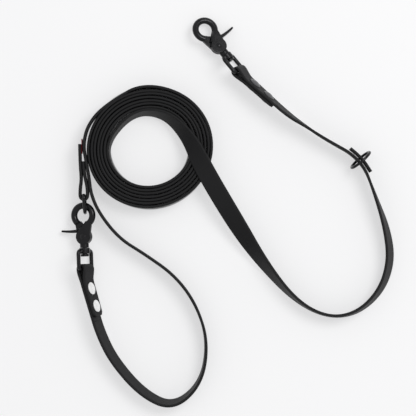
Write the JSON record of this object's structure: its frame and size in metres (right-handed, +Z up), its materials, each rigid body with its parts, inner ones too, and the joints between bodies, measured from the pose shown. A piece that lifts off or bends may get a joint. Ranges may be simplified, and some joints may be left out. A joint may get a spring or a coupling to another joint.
{
  "type": "training leash",
  "caption": "Flat coated-webbing training leash, coiled on edge, with a swivel snap at each riveted end, a round ring with a keeper, a D-ring tab and a handle loop.",
  "frame": {"origin": "centre of the bottom of the box round the rings, snaps and strap ends, on the table that the leash lies on", "axes": "+Z up from the table; +Y from the handle loop towards the lead snap; +X from the coil towards the open loop and the round ring"},
  "size_m": [0.2839, 0.3321, 0.0236],
  "materials": {
    "webbing": "matte black coated webbing with a fine woven grain and paler edges",
    "black_metal": "satin black plated metal with soft highlights",
    "rivet": "polished nickel-plated cap rivets",
    "spring_steel": "plain spring steel wire",
    "tag": "plain dark red woven tape"
  },
  "bodies": {
    "leash": {"strap_coil": "webbing", "strap_lead_run": "webbing", "strap_handle_run": "webbing", "lead_end_fold": "webbing", "lead_end_rivet_posts": "rivet", "lead_end_rivet_caps": "rivet", "handle_end_fold": "webbing", "handle_end_rivet_posts": "rivet", "handle_end_rivet_caps": "rivet", "ring_keeper": "webbing", "dring_tab": "webbing", "plain_tag": "tag"},
    "o_ring": {"o_ring": "black_metal"},
    "d_ring": {"d_ring": "black_metal"},
    "lead_snap_frame": {"lead_snap_swivel_frame": "black_metal"},
    "lead_snap_hook": {"lead_snap_hook": "black_metal", "lead_snap_swivel_post": "black_metal", "lead_snap_pivot_pin": "black_metal", "lead_snap_jaw_spring": "spring_steel"},
    "lead_snap_jaw": {"lead_snap_jaw": "black_metal"},
    "handle_snap_frame": {"handle_snap_swivel_frame": "black_metal"},
    "handle_snap_hook": {"handle_snap_hook": "black_metal", "handle_snap_swivel_post": "black_metal", "handle_snap_pivot_pin": "black_metal", "handle_snap_jaw_spring": "spring_steel"},
    "handle_snap_jaw": {"handle_snap_jaw": "black_metal"}
  },
  "joints": [
    {"name": "o_ring_travel", "type": "hinge", "parent": "leash", "child": "o_ring", "pos_m": [0.08973, -0.02019, 0.0113], "axis": [0, 0, 1], "range_deg": [-5, 5]},
    {"name": "d_ring_swing", "type": "hinge", "parent": "leash", "child": "d_ring", "pos_m": [-0.1127, -0.0219, 0.0113], "axis": [0, 0, 1], "range_deg": [-12, 5]},
    {"name": "lead_snap_fold_hinge", "type": "hinge", "parent": "leash", "child": "lead_snap_frame", "pos_m": [0.019, 0.084, 0.0126], "axis": [-0.342, -0.176, 0.9231], "range_deg": [-60, 40]},
    {"name": "lead_snap_swivel", "type": "hinge", "parent": "lead_snap_frame", "child": "lead_snap_hook", "pos_m": [0.019, 0.084, 0.0126], "axis": [-0.6309, 0.7709, -0.087], "continuous": true},
    {"name": "lead_snap_trigger", "type": "hinge", "parent": "lead_snap_hook", "child": "lead_snap_jaw", "pos_m": [0.00165, 0.1052, 0.0102], "axis": [-0.2389, -0.2999, -0.9236], "range_deg": [0, 28], "stiffness_Nm_per_rad": 0.05, "springref_deg": -17.19},
    {"name": "handle_snap_fold_hinge", "type": "hinge", "parent": "leash", "child": "handle_snap_frame", "pos_m": [-0.1115, -0.0843, 0.012], "axis": [-0.4852, 0.003, 0.8744], "range_deg": [-5, 5]},
    {"name": "handle_snap_swivel", "type": "hinge", "parent": "handle_snap_frame", "child": "handle_snap_hook", "pos_m": [-0.1115, -0.0843, 0.012], "axis": [-0.04, 0.9989, -0.026], "range_deg": [-10, 10]},
    {"name": "handle_snap_trigger", "type": "hinge", "parent": "handle_snap_hook", "child": "handle_snap_jaw", "pos_m": [-0.1126, -0.05683, 0.01128], "axis": [-0.375, 0.009, 0.927], "range_deg": [0, 28], "stiffness_Nm_per_rad": 0.05, "springref_deg": -17.19}
  ],
  "couplings": [
    {"joint": "handle_snap_fold_hinge", "follows": "d_ring_swing", "ratio": -0.3671}
  ]
}
